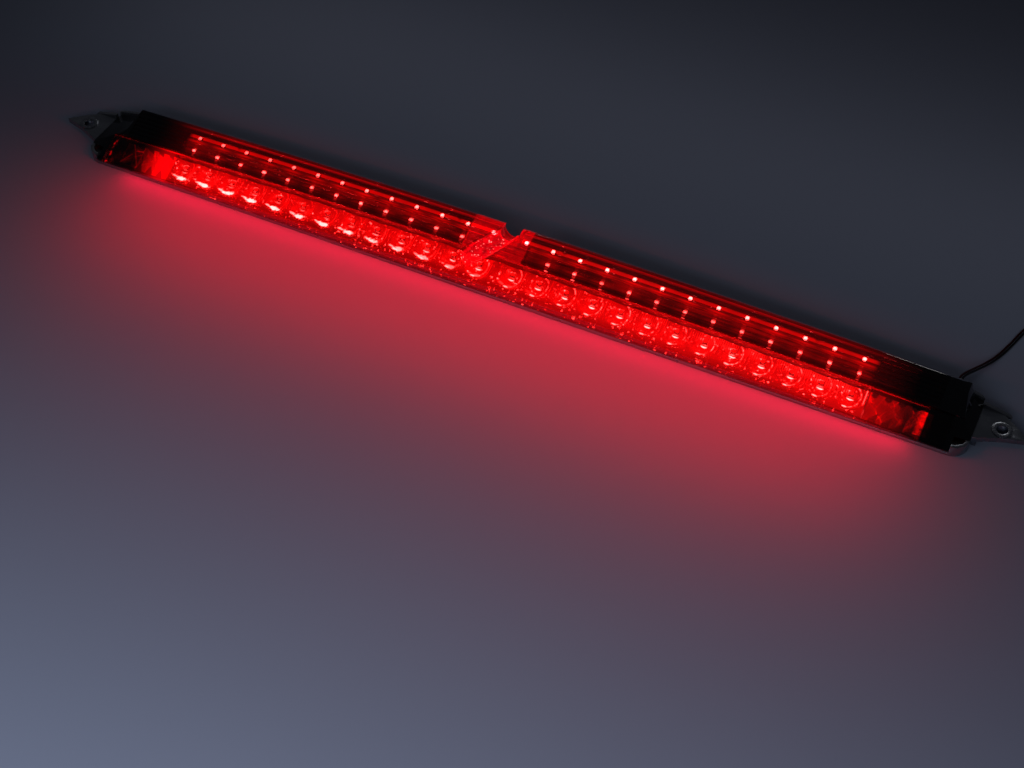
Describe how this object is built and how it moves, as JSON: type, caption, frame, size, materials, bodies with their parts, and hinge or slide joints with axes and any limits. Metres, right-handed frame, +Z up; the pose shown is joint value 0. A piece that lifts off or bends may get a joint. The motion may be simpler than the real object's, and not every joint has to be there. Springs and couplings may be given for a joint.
{
  "type": "third brake light",
  "caption": "Long slim two-tier LED high-mount brake light with a smoked upper cover, a red lower lens, a centre scoop, two fixing ears and a wire pigtail.",
  "frame": {"origin": "middle of the flat base of the housing, halfway between the two ear tips and between the lit front and the back wall", "axes": "+X along the lamp towards the cable end, -Y towards the lit front, +Z up out of the base"},
  "size_m": [0.6946, 0.1438, 0.0256],
  "materials": {
    "housing_silver": "metallised satin",
    "lens_red": "clear polished",
    "cover_smoke": "smoked polished",
    "scoop_red": "clear polished",
    "cap_black": "piano gloss",
    "mirror_coat": "vacuum metallised",
    "reflex_red": "prismatic",
    "board_white": "solder mask",
    "led": "lit",
    "chip_black": "moulded",
    "screw_zinc": "yellow zinc",
    "steel": "turned",
    "lead_red": "satin",
    "lead_black": "satin",
    "foam_black": "closed cell",
    "patch_white": "woven membrane",
    "grommet_rubber": "moulded",
    "connector_black": "fine texture",
    "seal_red": "silicone",
    "pin_brass": "tinned"
  },
  "bodies": {
    "root": {"rear_housing": "housing_silver", "red_lens": "lens_red", "top_cover_left": "cover_smoke", "top_cover_right": "cover_smoke", "centre_scoop": "scoop_red", "end_cap_left": "cap_black", "end_cap_right": "cap_black", "lower_reflector": "mirror_coat", "upper_reflector": "mirror_coat", "end_reflex_left": "reflex_red", "end_reflex_right": "reflex_red", "upper_led_board_left": "board_white", "upper_led_board_right": "board_white", "lower_led_board": "board_white", "upper_leds": "led", "lower_leds": "led", "chip_resistors": "chip_black", "current_regulators": "chip_black", "board_screws": "screw_zinc", "board_link_wires": "lead_red", "inner_leads": "lead_red", "ear_bushing_left": "steel", "ear_bushing_right": "steel", "base_gasket": "foam_black", "vent_patch": "patch_white", "cable_grommet": "grommet_rubber", "wire_red": "lead_red", "wire_black": "lead_black", "wire_hank": "lead_red", "hank_tie": "lead_black", "connector_body": "connector_black", "connector_seals": "seal_red", "connector_pins": "pin_brass"}
  },
  "joints": []
}
